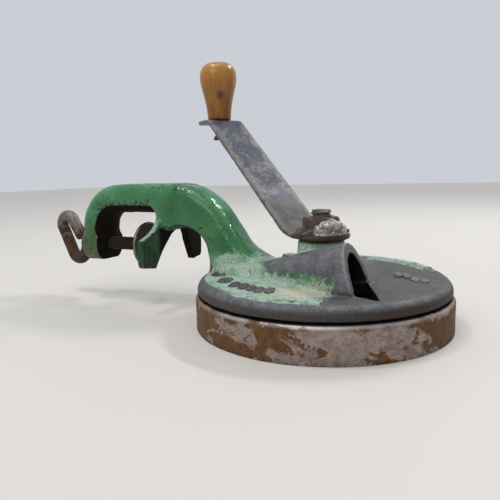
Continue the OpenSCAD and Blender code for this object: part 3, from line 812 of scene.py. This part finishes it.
def drum():
    """A pressed pan: face up, skirt down, slightly dented, with the blade slots cut."""
    outer = high("drum_shell").x
    sheet = 1.4 * MM
    corner = 2.6 * MM
    bend = (outer - corner, DRUM_TOP - corner)
    face = (70, 62, 50, 36, 22, 12, 6)
    profile = [(outer - sheet, 0.0), (outer - sheet * 0.5, 0.0), (outer, 0.25 * MM)]
    profile += [(outer, h * MM) for h in np.linspace(1.2, 15.8, 9)]
    profile += arc_points(bend, corner, 0, 90, 8)
    profile += [(r * MM, DRUM_TOP) for r in face]
    profile += [(r * MM, DRUM_TOP - sheet) for r in face[::-1]]
    profile += arc_points(bend, corner - sheet, 90, 0, 5)
    profile += [(outer - sheet, h * MM) for h in np.linspace(15.8, 1.2, 7)]
    rings = turned_rings(profile, 360)
    mesh = mesh_from("drum", *ring_surface(rings, loop=True))
    fix_normals(mesh)
    points = coords(mesh)
    radius = np.hypot(points[:, 0], points[:, 1])
    dent = 0.22 * noise_at(points, 26 * MM, 11) + 0.10 * noise_at(points, 8 * MM, 12)
    dent = np.abs(dent * smoothstep(68 * MM, 73 * MM, radius)) * MM
    points[:, :2] -= points[:, :2] / np.maximum(radius, 1e-6)[:, None] * dent[:, None]
    set_coords(mesh, points)
    piece = link("drum", mesh)
    cut_slots(piece)
    points = coords(piece.data)
    x, y, z = points.T / MM
    reach = np.hypot(x, y)
    # brown has spread most to the sides of the front, least at its middle
    aside = np.abs((np.degrees(np.arctan2(y, x)) + 60 + 180) % 360 - 180)
    highlight_breakup = 0.5 + 0.5 * noise_at(points, 9 * MM, 13, 2)
    store(piece.data,
          wear=0.30 + 0.68 * smoothstep(24, 44, aside) * (1 - 0.5 * smoothstep(100, 130, aside)),
          # painted contact shadow along the bottom edge
          rim=smoothstep(2.2, 0.4, z) * smoothstep(70, 73, reach),
          # painted highlight along the top corner, broken up by noise
          bright=smoothstep(17.3, 18.1, z) * smoothstep(72.9, 73.8, reach) * 0.55 * highlight_breakup,
          # soiling and painted shade on the face under the plate
          grime=smoothstep(18.5, 19.0, z) * smoothstep(73.6, 72.8, reach))
    return finish_piece(piece, "rotor", tinned(), ["drum_shell"], edge_angle=50)


def cut_slots(piece):
    """Cuts the face open over each blade, where the CAD blade's edge comes through."""
    for blade in ("blade_1", "blade_2", "blade_3"):
        points = coords(frame["nodes"][blade].data)
        edge = points[points[:, 2] > high(blade).z - 0.3 * MM].mean(0)
        back = points[points[:, 2] < high(blade).z - 0.3 * MM].mean(0)
        direction = math.atan2(edge[1], edge[0])
        across = Vector((math.sin(direction), -math.cos(direction)))
        side = math.copysign(1, across.dot(Vector(edge[:2]) - Vector(back[:2])))
        bpy.ops.mesh.primitive_cube_add(size=1)
        cutter = bpy.context.object
        cutter.scale = (46 * MM, 9.5 * MM, 4 * MM)
        cutter.rotation_euler = (0, 0, direction)
        place = Vector((edge[0], edge[1], DRUM_TOP))
        place -= Vector((across.x, across.y, 0)) * side * 2.6 * MM
        cutter.location = place
        cut = piece.modifiers.new("slot", "BOOLEAN")
        cut.operation = "DIFFERENCE"
        cut.object = cutter
        bake_modifiers(piece)
        bpy.data.objects.remove(cutter)


# ---- crank ------------------------------------------------------------------

def crank_line(step):
    """The strip's middle line as (distance from the spindle, height)."""
    half = 1.5 * MM
    slope = math.radians(37)
    bottom, tab = low("crank_arm").z + half, high("crank_arm").z - half
    flat_end = 16.9 * MM
    rise_end = flat_end + (tab - bottom) / math.tan(slope)
    corners = np.array([(-16 * MM, bottom), (flat_end, bottom), (rise_end, tab),
                        (CRANK_THROW + 7.5 * MM, tab)])
    line = [corners[0]]
    for k, radius in ((1, 27 * MM), (2, 9 * MM)):
        before, here, after = corners[k - 1:k + 2]
        reach = radius * math.tan(slope / 2)
        enter = here - (here - before) / np.linalg.norm(here - before) * reach
        leave = here + (after - here) / np.linalg.norm(after - here) * reach
        line += [(1 - t) ** 2 * enter + 2 * t * (1 - t) * here + t * t * leave
                 for t in np.linspace(0, 1, 10)]
    return even_line(np.array(line + [corners[3]]), step)


def even_line(line, step):
    """The same line with points a fixed step apart."""
    lengths = np.r_[0, np.cumsum(np.linalg.norm(np.diff(line, axis=0), axis=1))]
    count = int(lengths[-1] / step) + 1
    wanted = np.linspace(0, lengths[-1], count)
    return np.stack([np.interp(wanted, lengths, line[:, k]) for k in range(line.shape[1])], 1)


def crank():
    """The bent strip: rounded edges, a round hub end, hammer marks and nibbled edges."""
    width, thick = 29.2 * MM, 3.0 * MM
    corner = 0.9 * MM
    line = crank_line(0.9 * MM)
    tangent = np.gradient(line, axis=0)
    tangent /= np.linalg.norm(tangent, axis=1)[:, None]
    rings = []
    for (r, z), (along, up) in zip(line, tangent):
        half = width / 2
        if r < 0:
            half = min(half, math.sqrt(max((16 * MM) ** 2 - r * r, 0)) + 0.4 * MM)
        top = [(s, thick / 2) for s in np.linspace(-half + corner, half - corner, 23)]
        right = [(half - corner + a * corner, b * thick / 2)
                 for a, b in arc_points((0, 0), 1, 90, -90, 7)[1:-1]]
        section = top + right
        section += [(-s, -t) for s, t in section]
        rings.append([(r - up * t, s, z + along * t) for s, t in section])
    mesh = mesh_from("crank", *ring_surface(np.array(rings)))
    fix_normals(mesh)
    points = coords(mesh)
    from_middle = np.abs(points[:, 1]) / MM
    side = points[:, 1].copy()
    run = points[:, 0] / MM
    nibble = noise_at(points, 5 * MM, 21, 2) * 0.22 + noise_at(points, 1.6 * MM, 22) * 0.10
    at_edge = smoothstep(width / 2 / MM - 2.5, width / 2 / MM - 0.5, from_middle)
    points[:, 1] -= np.sign(side) * np.abs(nibble) * at_edge * MM
    points += vertex_normals(mesh) * (0.10 * noise_at(points, 12 * MM, 23, 2) * MM)[:, None]
    set_coords(mesh, points @ np.array(Matrix.Rotation(CRANK_YAW, 3, "Z")).T)
    hub_reach = np.hypot(points[:, 0], side) / MM
    under_side = points[:, 2] < low("crank_arm").z + 0.6 * MM
    clean_end = smoothstep(44, 34, run + 8 * noise_at(points, 12 * MM, 24))
    store(mesh, centre=smoothstep(14.5, 6, from_middle) * smoothstep(22, 40, run),
          clean=clean_end * smoothstep(14.3, 10, from_middle),
          edge=smoothstep(11.0, 13.8, from_middle),
          hub_rim=np.maximum(smoothstep(13.8, 15.0, hub_reach), under_side) * smoothstep(14, 6, run))
    return finish_piece(link("crank", mesh), "rotor", crank_steel(), ["crank_arm"], 60)


def merge_lumps(name, lumps, rough, seed):
    """One melted lump from (place, radius) balls, as weld metal is laid down."""
    shape = bmesh.new()
    for place, radius in lumps:
        bmesh.ops.create_icosphere(shape, subdivisions=3, radius=radius, matrix=Matrix.Translation(place))
    mesh = bpy.data.meshes.new(name)
    shape.to_mesh(mesh)
    shape.free()
    piece = link(name, mesh)
    even_faces(piece, 0.4 * MM)
    set_coords(piece.data, relax(coords(piece.data), edge_pairs(piece.data), 24))
    points = coords(piece.data)
    bumps = noise_at(points, 2.2 * MM, seed, 3) * rough
    set_coords(piece.data, points + vertex_normals(piece.data) * bumps[:, None])
    return piece


# weld lumps: direction in degrees, distance, height above the strip, radius
NEAR_WELD = ((-150, 12.4, 1.2, 2.4), (-124, 12.3, 2.0, 2.9), (-96, 13.4, 1.6, 2.3), (-78, 11.6, 2.6, 3.3),
             (-58, 10.8, 3.6, 4.4), (-38, 10.6, 4.6, 4.6), (-18, 11.2, 3.6, 4.2), (3, 12.4, 2.2, 3.1),
             (24, 12.6, 1.2, 2.3))


def weld():
    """Old weld: a collar round the nut, with bigger lumps on the near side."""
    base = low("crank_nut").z
    random = np.random.RandomState(5)
    lumps = []
    for k in range(40):
        reach, size = 10.8 + random.uniform(-0.4, 0.5), 1.7 + random.uniform(-0.3, 0.5)
        lumps.append((polar(9 * k, reach, base + 0.9 * MM), size * MM))
    for turn in range(-155, 45, 11):
        lumps.append((polar(turn, random.uniform(13.2, 14.0), base + 0.2 * MM),
                      random.uniform(1.3, 1.8) * MM))
    lumps += [(polar(turn, reach, base + up * MM), size * MM) for turn, reach, up, size in NEAR_WELD]
    piece = merge_lumps("weld_lump", lumps, 0.20 * MM, 31)
    points = coords(piece.data)
    # the lump sits on the strip and doesn't sink through it
    points[:, 2] = np.maximum(points[:, 2], base - 0.3 * MM)
    set_coords(piece.data, points)
    angle = np.degrees(np.arctan2(points[:, 1], points[:, 0]))
    height = (points[:, 2] - base) / MM
    store(piece.data, orange=smoothstep(3.0, 0.5, height) * band(angle, -15, 10, 40, 60),
          dark=smoothstep(-66, -92, angle) * 0.75 + smoothstep(10, 40, angle) * 0.6)
    return finish_piece(piece, "rotor", weld_metal(), ["weld_bead"], edge_angle=None)


def polar(turn, reach, height):
    """A place at turn degrees and reach millimetres from the spindle."""
    turn = math.radians(turn)
    return Vector((reach * MM * math.cos(turn), reach * MM * math.sin(turn), height))


RUST_LUMPS = ((24, 15.4, 1.6, 1.9), (32, 15.3, 2.8, 1.6), (16, 15.3, 1.4, 1.6),
              (28, 15.9, 4.2, 1.1), (9, 15.2, 1.2, 1.3), (38, 15.0, 1.8, 1.5))


def rust_nub():
    """A crust of orange rust on the rounded hub end of the strip."""
    under = low("crank_arm").z
    lumps = [(polar(turn, reach, under + up * MM), size * MM) for turn, reach, up, size in RUST_LUMPS]
    piece = merge_lumps("rust_nub", lumps, 0.3 * MM, 33)
    store(piece.data, orange=1, dark=0)
    return finish_piece(piece, "rotor", material("old_weld"), edge_angle=None)


def hex_nut(node, look, turn):
    """A hexagonal nut with turned-down corners, made by cutting a hexagon with a cone."""
    bottom, top = low(node).z, high(node).z
    flat, bore, rim = 9.5 * MM, 6 * MM, 0.9 * MM
    around = 96
    angles = np.linspace(0, 2 * np.pi, around, endpoint=False)
    hexagon = np.array([flat / math.cos((a - turn) % (math.pi / 3) - math.pi / 6) for a in angles])
    cut = np.minimum(hexagon, flat * 1.045)
    hole = np.full(around, bore)
    layers = [(hole, bottom), (cut, bottom), (hexagon, bottom + rim)]
    layers += [(hexagon, h) for h in np.linspace(bottom + 2 * MM, top - 2 * MM, 4)]
    layers += [(hexagon, top - rim), (cut, top), (hole, top), (hole, bottom)]
    rings = [np.stack([reach * np.cos(angles), reach * np.sin(angles), np.full(around, height)], 1)
             for reach, height in layers]
    mesh = mesh_from(node, *ring_surface(np.array(rings), closed_ends=False))
    merge_close(mesh)
    points = coords(mesh)
    points += vertex_normals(mesh) * (0.22 * noise_at(points, 3.2 * MM, 41, 2) * MM)[:, None]
    set_coords(mesh, points)
    store(mesh, worn=smoothstep(0.2, 1.0, (points[:, 2] - bottom) / (top - bottom)) * 0.42)
    return finish_piece(link(node, mesh), "rotor", material(look), [node], edge_angle=38)


def merge_close(mesh, distance=0.001 * MM):
    shape = bmesh.new()
    shape.from_mesh(mesh)
    bmesh.ops.remove_doubles(shape, verts=shape.verts, dist=distance)
    bmesh.ops.recalc_face_normals(shape, faces=shape.faces)
    shape.to_mesh(mesh)
    shape.free()


def thread_mesh(name, crest, root, pitch, start, end, around, rings_per_turn=16, chamfer=1.0 * MM):
    """A threaded rod on the Z axis: the radius follows a helix of the given pitch."""
    angles = np.linspace(0, 2 * np.pi, around, endpoint=False)
    rings = []
    for z in np.arange(start, end, pitch / rings_per_turn):
        phase = (z / pitch - angles / (2 * np.pi)) % 1
        tooth = np.clip(1.7 - np.abs(phase - 0.5) * 4.4, 0, 1)
        cap = crest - np.maximum(0, z - (end - chamfer)) * 0.8
        radius = np.minimum(root + (crest - root) * tooth, cap)
        rings.append(np.stack([radius * np.cos(angles), radius * np.sin(angles), np.full(around, z)], 1))
    mesh = mesh_from(name, *ring_surface(np.array(rings)))
    fix_normals(mesh)
    return mesh


def spindle():
    """The spindle: plain through the boss and the drum, a coarse thread at its top."""
    bottom, top = low("spindle").z, high("spindle").z
    mesh = thread_mesh("spindle", 6.0 * MM, 5.0 * MM, 2.4 * MM, bottom, top, 72)
    points = coords(mesh)
    smooth_part = points[:, 2] < low("crank_nut").z + 6 * MM
    radius = np.hypot(points[:, 0], points[:, 1])
    full = np.where(smooth_part & (radius > 1 * MM), 5.98 * MM / np.maximum(radius, 1e-9), 1)
    points[:, :2] *= full[:, None]
    points += vertex_normals(mesh) * (0.08 * noise_at(points, 2 * MM, 43, 2) * MM)[:, None]
    set_coords(mesh, points)
    store(mesh, worn=0.62)
    return finish_piece(link("spindle", mesh), "rotor", material("old_steel"),
                        ["spindle"], 50)


# ---- knob -------------------------------------------------------------------

KNOB_SIDE = ((8.3, 0.0), (8.75, 0.3), (8.95, 1.2), (9.25, 5), (9.65, 9), (10.8, 15.5), (12.2, 21),
             (13.4, 25.5), (14.0, 29), (14.2, 32.5), (13.9, 35.5), (13.1, 38), (11.6, 40.2),
             (9.6, 41.8), (8.0, 42.4), (7.3, 42.4))


KNOB_BORE = [(7.0, 42.0), (7.0, 38.0), (3.55, 38.0), (3.55, 19.0), (3.55, 0.0)]


def knob():
    """The turned knob: narrow foot, long waist, round head, and a bore for its pin."""
    base, height = low("wooden_knob").z, 42.6 * MM
    outline = even_line(smooth_line(np.array(KNOB_SIDE)), 0.7)
    profile = [(r * MM, base + z * MM) for r, z in list(outline) + KNOB_BORE]
    rings = turned_rings(profile, 96, KNOB_AXIS)
    mesh = mesh_from("knob", *ring_surface(np.concatenate([rings, rings[:1]]), closed_ends=False))
    merge_close(mesh)
    points = coords(mesh)
    up = (points[:, 2] - base) / height
    turn = np.degrees(np.arctan2(points[:, 1] - KNOB_AXIS.y, points[:, 0] - KNOB_AXIS.x))
    aside = ((turn + 52 + 180) % 360 - 180) / 26
    store(mesh, smudge=np.exp(-aside ** 2 - ((up - 0.42) / 0.10) ** 2) * 0.8,
          # painted shade under the head and at the foot
          shade=smoothstep(0.05, 0.0, up) + 0.42 * smoothstep(0.80, 0.45, up)
          + 0.1 * smoothstep(0.4, 0.05, up))
    return finish_piece(link("knob", mesh), "knob", varnished_wood(), ["wooden_knob"], 50)


def smooth_line(points, rounds=3):
    """Cuts the corners of a line, so that it reads as one curve."""
    for _ in range(rounds):
        cut = [points[0]]
        for a, b in zip(points[:-1], points[1:]):
            cut += [0.75 * a + 0.25 * b, 0.25 * a + 0.75 * b]
        points = np.array(cut + [points[-1]])
    return points


# ---- clamp ------------------------------------------------------------------

# bends of the handle: straight run, bend radius, turn in degrees
HANDLE_BENDS = ((4.5, 5, 64), (8.2, 6.5, -129), (22.2, 6.3, -173), (15.6, 0, 0))
HANDLE_START = -179.5 * MM


def handle_path():
    """The rod's route in the arm's plane, from the thread's end round the loop."""
    place, heading = np.array([HANDLE_START, SCREW_AXIS.z]), math.pi
    path = [place]
    for run, radius, turn in HANDLE_BENDS:
        steps = max(2, int(run))
        for _ in range(steps):
            place = place + np.array([math.cos(heading), math.sin(heading)]) * run / steps * MM
            path.append(place)
        bits = int(abs(turn) / 7)
        for _ in range(bits):
            bit = math.radians(turn / bits)
            heading += bit / 2
            chord = 2 * radius * math.sin(abs(bit) / 2) * MM
            place = place + np.array([math.cos(heading), math.sin(heading)]) * chord
            heading += bit / 2
            path.append(place)
    return np.array([(px, 0.0, pz) for px, pz in path])


def clamp_screw():
    """One rod: a thread through the jaw, then bent into a three-cornered handle."""
    length = low("clamp_pad").x - 0.4 * MM - HANDLE_START
    mesh = thread_mesh("clamp_thread", 4.72 * MM, 4.05 * MM, 2.0 * MM, 0, length, 40, 10, 0.6 * MM)
    points = coords(mesh)
    set_coords(mesh, laid_along_arm(HANDLE_START + points[:, 2], points))
    fix_normals(mesh)
    store(mesh, worn=0.12)
    finish_piece(link("clamp_thread", mesh), "screw", material("rusty_thread"),
                 ["clamp_screw"], 55)
    path = even_line(handle_path(), 0.9 * MM)
    radii = np.full(len(path), 4.3 * MM)
    radii[-2:] *= (0.99, 0.90)
    mesh = swept("clamp_handle", path, radii, 28)
    points = coords(mesh)
    points += vertex_normals(mesh) * (0.16 * noise_at(points, 6 * MM, 51, 2) * MM)[:, None]
    set_coords(mesh, points)
    worn = smoothstep(34, 62, points[:, 2] / MM) * 0.85
    store(mesh, worn=worn + 0.28 * noise_at(points, 7 * MM, 52, 2))
    finish_piece(link("clamp_handle", mesh), "screw", material("rusty_handle"),
                 ["clamp_screw"], 55)


def laid_along_arm(x, points):
    """Points turned about +Z, laid down so that they turn about the screw's axis."""
    return np.stack([x, points[:, 0], SCREW_AXIS.z + points[:, 1]], 1)


# radius and depth behind the face, from the middle of the face to the collar
PAD_SIDE = ((0, 0.5), (5.2, 0.6), (5.6, 0.35), (9, 0.1), (13, 0.0), (15.2, 0.15), (16.0, 0.7),
            (16.15, 1.5), (15.9, 2.4), (15.2, 2.95), (13, 3.05), (9.4, 3.2), (8.4, 3.8), (8.0, 5),
            (7.8, 7.0), (7.2, 7.5), (4.8, 7.55))


def clamp_pad():
    """The pad: a dished steel disc with a rounded rim and a collar behind it."""
    profile = even_line(smooth_line(np.array(PAD_SIDE), 2), 0.8)
    mesh = lathe("clamp_pad", [(max(r, 0.02) * MM, z * MM) for r, z in profile], 96)
    fix_normals(mesh)
    points = coords(mesh)
    placed = laid_along_arm(high("clamp_pad").x - points[:, 2], points)
    placed[:, 0] += 0.12 * noise_at(placed, 7 * MM, 61, 2) * MM
    set_coords(mesh, placed)
    fix_normals(mesh)
    radius = np.hypot(placed[:, 1], placed[:, 2] - SCREW_AXIS.z) / MM
    store(mesh, worn=smoothstep(13.5, 15.6, radius) * 0.9)
    return finish_piece(link("clamp_pad", mesh), "pad", material("old_steel"),
                        ["clamp_pad"], 50)


# ---- stage ------------------------------------------------------------------

VIEW_YAW = math.radians(28)


FLOOR_SIZE = 6
FLOOR_COLOUR = (0.60, 0.575, 0.54)


def floor():
    bpy.ops.mesh.primitive_plane_add(size=FLOOR_SIZE, location=(0, 0, 0))
    plane = bpy.context.object
    plane.name = "floor"
    s = Shader("pale_floor")
    s.set(base_color=FLOOR_COLOUR, roughness=0.6, specular_ior_level=0.25)
    plane.data.materials.append(s.material)


def area_light(name, place, target, size, power):
    light = bpy.data.lights.new(name, "AREA")
    light.shape = "RECTANGLE"
    light.size, light.size_y = size
    light.energy = power
    holder = link(name, light)
    holder.location = place
    holder.rotation_euler = (Vector(target) - Vector(place)).to_track_quat("-Z", "Y").to_euler()


WALL_BEHIND_CAMERA = (0.36, 0.355, 0.345, 1)
WALL_AHEAD = (0.595, 0.62, 0.665, 1)
# name, place, what it points at, size and power
LAMPS = (("far_lamp", (0.27, 0.73, 0.88), (-0.07, 0, 0.06), (0.42, 0.030), 4.4),
         ("near_lamp", (-0.42, -0.13, 1.20), (-0.1, 0.07, 0.15), (0.11, 0.11), 2.2),
         ("fill", (-0.1, -1.2, 0.9), (0, 0, 0.05), (1.0, 0.6), 5))


def studio():
    """A pale room: bright wall behind the object, darker behind the camera, lamps overhead."""
    world = bpy.data.worlds.new("studio")
    bpy.context.scene.world = world
    world.use_nodes = True
    nodes, links = world.node_tree.nodes, world.node_tree.links
    background = nodes["Background"]
    facing = nodes.new("ShaderNodeVectorMath")
    facing.operation = "DOT_PRODUCT"
    links.new(nodes.new("ShaderNodeTexCoord").outputs["Generated"], facing.inputs[0])
    facing.inputs[1].default_value = (-math.sin(VIEW_YAW), math.cos(VIEW_YAW), 0.35)
    ramp = nodes.new("ShaderNodeMapRange")
    ramp.interpolation_type = "SMOOTHSTEP"
    ramp.inputs["From Min"].default_value = -0.7
    ramp.inputs["From Max"].default_value = 0.6
    links.new(facing.outputs["Value"], ramp.inputs["Value"])
    tone = nodes.new("ShaderNodeMix")
    tone.data_type = "RGBA"
    tone.inputs[6].default_value = WALL_BEHIND_CAMERA
    tone.inputs[7].default_value = WALL_AHEAD
    links.new(ramp.outputs["Result"], tone.inputs["Factor"])
    links.new(tone.outputs[2], background.inputs["Color"])
    background.inputs["Strength"].default_value = 1.0
    sun = bpy.data.lights.new("ceiling", "SUN")
    sun.energy = 0.95
    sun.angle = math.radians(40)
    link("ceiling", sun).rotation_euler = Vector((-0.05, -0.25, 0.95)).to_track_quat("Z", "Y").to_euler()
    for lamp in LAMPS:
        area_light(*lamp)


CAMERA_PLACE = (0.1002, -0.2782, 0.0890)
CAMERA_PITCH = math.radians(90 - 8.75)
CAMERA_ROLL = math.radians(-1.4)


def camera():
    """The photo's view: low, a little to the right of the object's front."""
    data = bpy.data.cameras.new("camera")
    data.sensor_width = 36
    data.lens = 36
    holder = link("camera", data)
    turn = Matrix.Rotation(VIEW_YAW, 4, "Z") @ Matrix.Rotation(CAMERA_PITCH, 4, "X")
    turn = turn @ Matrix.Rotation(CAMERA_ROLL, 4, "Z")
    holder.matrix_world = Matrix.Translation(CAMERA_PLACE) @ turn
    bpy.context.scene.camera = holder


def dress(node, material, bevel=0.25 * MM):
    """A CAD node that stays: a small bevel and its own material."""
    piece = frame["nodes"][node]
    piece.data.materials.clear()
    piece.data.materials.append(material)
    if bevel:
        modifier = piece.modifiers.new("edge", "BEVEL")
        modifier.width = bevel
        modifier.segments = 2
        modifier.limit_method = "ANGLE"


camera()
floor()
studio()
rusty("rusty_thread", (0.030, 0.019, 0.015), (0.20, 0.17, 0.15), RUST_DARK, rust_at=0.48)
rusty("rusty_handle", (0.050, 0.030, 0.019), (0.200, 0.185, 0.180), (0.085, 0.040, 0.019),
      rust_at=0.46, shine=0.15, gleam=0.25, worn_shine=0.5)
rusty("old_steel", (0.070, 0.056, 0.047), (0.235, 0.205, 0.185), RUST_DARK,
      rust_at=0.52, shine=0.4, depth=0.15 * MM)
rusty("rusty_nut", (0.125, 0.098, 0.082), (0.52, 0.49, 0.46), (0.085, 0.038, 0.020),
      rust_at=0.47, shine=0.5)
cast_body()
plate_marks()
drum()
crank()
hex_nut("crank_nut", "rusty_nut", math.radians(14))
hex_nut("drum_nut", "old_steel", 0)
weld()
rust_nub()
spindle()
knob()
clamp_screw()
clamp_pad()
SMALL = plain_steel("small_steel", (0.30, 0.29, 0.28))
BLADE = plain_steel("blade_steel", (0.52, 0.53, 0.55), 0.28)
for name in ("blade_1", "blade_2", "blade_3"):
    dress(name, BLADE, 0.12 * MM)
for name in ("drum_hub_rivets", "blade_rivets", "drum_washer", "knob_washer", "pad_rivet"):
    dress(name, SMALL)
for name in ("drum_hub_plate", "thrust_washer", "knob_pin"):
    dress(name, material("old_steel"))

bpy.context.scene.view_settings.view_transform = "Standard"
